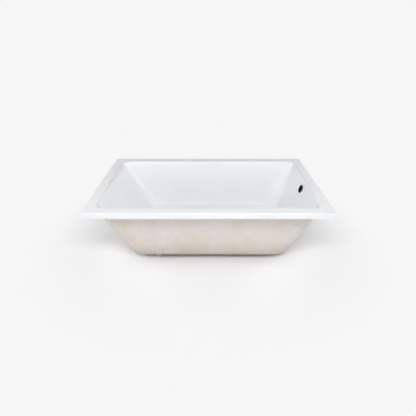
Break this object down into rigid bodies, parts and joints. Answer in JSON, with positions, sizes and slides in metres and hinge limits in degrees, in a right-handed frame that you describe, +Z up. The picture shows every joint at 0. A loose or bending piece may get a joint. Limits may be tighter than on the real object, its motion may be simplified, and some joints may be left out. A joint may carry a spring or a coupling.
{
  "type": "drop-in bathtub",
  "caption": "Rectangular drop-in bathtub: a white acrylic basin with a flat rim over an insulated body, on screw feet, with a low waste and overflow under the drain end.",
  "frame": {"origin": "on the ground, under the middle of the rim", "axes": "+X towards the drain end, +Y towards the back, +Z up"},
  "size_m": [1.524, 0.813, 0.44],
  "materials": {
    "acrylic": "gloss",
    "foam": "matt",
    "glass_fibre": "matt",
    "board": "matt",
    "timber": "matt",
    "zinc_steel": "satin",
    "foot_plastic": "satin",
    "chrome": "polished",
    "rubber": "matt",
    "black_plastic": "satin"
  },
  "bodies": {
    "root": {"acrylic_shell": "acrylic", "insulating_foam": "foam", "glass_fibre_skin": "glass_fibre", "base_board": "board", "front_batten": "timber", "back_batten": "timber", "backrest_batten": "timber", "drain_end_batten": "timber", "foot_inserts": "zinc_steel", "foot_lock_nuts": "zinc_steel", "drain_flange": "chrome", "drain_seal": "rubber", "shoe_washer": "rubber", "waste_shoe": "black_plastic", "waste_tube": "black_plastic", "waste_tee": "black_plastic", "outlet_spigot": "black_plastic", "slip_nuts": "black_plastic", "slip_washers": "rubber", "overflow_ring": "black_plastic", "overflow_washer": "rubber", "overflow_elbow": "black_plastic", "overflow_tube": "black_plastic"},
    "pad_front_head": {"foot_pad_front_head": "foot_plastic"},
    "screw_front_head": {"foot_screw_front_head": "zinc_steel"},
    "pad_back_head": {"foot_pad_back_head": "foot_plastic"},
    "screw_back_head": {"foot_screw_back_head": "zinc_steel"},
    "pad_front_drain": {"foot_pad_front_drain": "foot_plastic"},
    "screw_front_drain": {"foot_screw_front_drain": "zinc_steel"},
    "pad_back_drain": {"foot_pad_back_drain": "foot_plastic"},
    "screw_back_drain": {"foot_screw_back_drain": "zinc_steel"},
    "plug": {"drain_plug": "chrome"}
  },
  "joints": [
    {"name": "pad_slide_front_head", "type": "slide", "parent": "root", "child": "pad_front_head", "axis": [0, 0, -1], "range_m": [0, 0.012]},
    {"name": "screw_turn_front_head", "type": "hinge", "parent": "pad_front_head", "child": "screw_front_head", "pos_m": [-0.35291, -0.26595, 0.03], "axis": [0, 0, -1], "range_deg": [0, 2469]},
    {"name": "pad_slide_back_head", "type": "slide", "parent": "root", "child": "pad_back_head", "axis": [0, 0, -1], "range_m": [0, 0.012]},
    {"name": "screw_turn_back_head", "type": "hinge", "parent": "pad_back_head", "child": "screw_back_head", "pos_m": [-0.35291, 0.26595, 0.03], "axis": [0, 0, -1], "range_deg": [0, 2469]},
    {"name": "pad_slide_front_drain", "type": "slide", "parent": "root", "child": "pad_front_drain", "axis": [0, 0, -1], "range_m": [0, 0.012]},
    {"name": "screw_turn_front_drain", "type": "hinge", "parent": "pad_front_drain", "child": "screw_front_drain", "pos_m": [0.37134, -0.20495, 0.03], "axis": [0, 0, -1], "range_deg": [0, 2469]},
    {"name": "pad_slide_back_drain", "type": "slide", "parent": "root", "child": "pad_back_drain", "axis": [0, 0, -1], "range_m": [0, 0.012]},
    {"name": "screw_turn_back_drain", "type": "hinge", "parent": "pad_back_drain", "child": "screw_back_drain", "pos_m": [0.37134, 0.20495, 0.03], "axis": [0, 0, -1], "range_deg": [0, 2469]},
    {"name": "plug_lift", "type": "slide", "parent": "root", "child": "plug", "axis": [0, 0, 1], "range_m": [0, 0.009]}
  ],
  "couplings": [
    {"joint": "screw_turn_front_head", "follows": "pad_slide_front_head", "rad_per_m": 3590.4},
    {"joint": "screw_turn_back_head", "follows": "pad_slide_back_head", "rad_per_m": 3590.4},
    {"joint": "screw_turn_front_drain", "follows": "pad_slide_front_drain", "rad_per_m": 3590.4},
    {"joint": "screw_turn_back_drain", "follows": "pad_slide_back_drain", "rad_per_m": 3590.4}
  ]
}
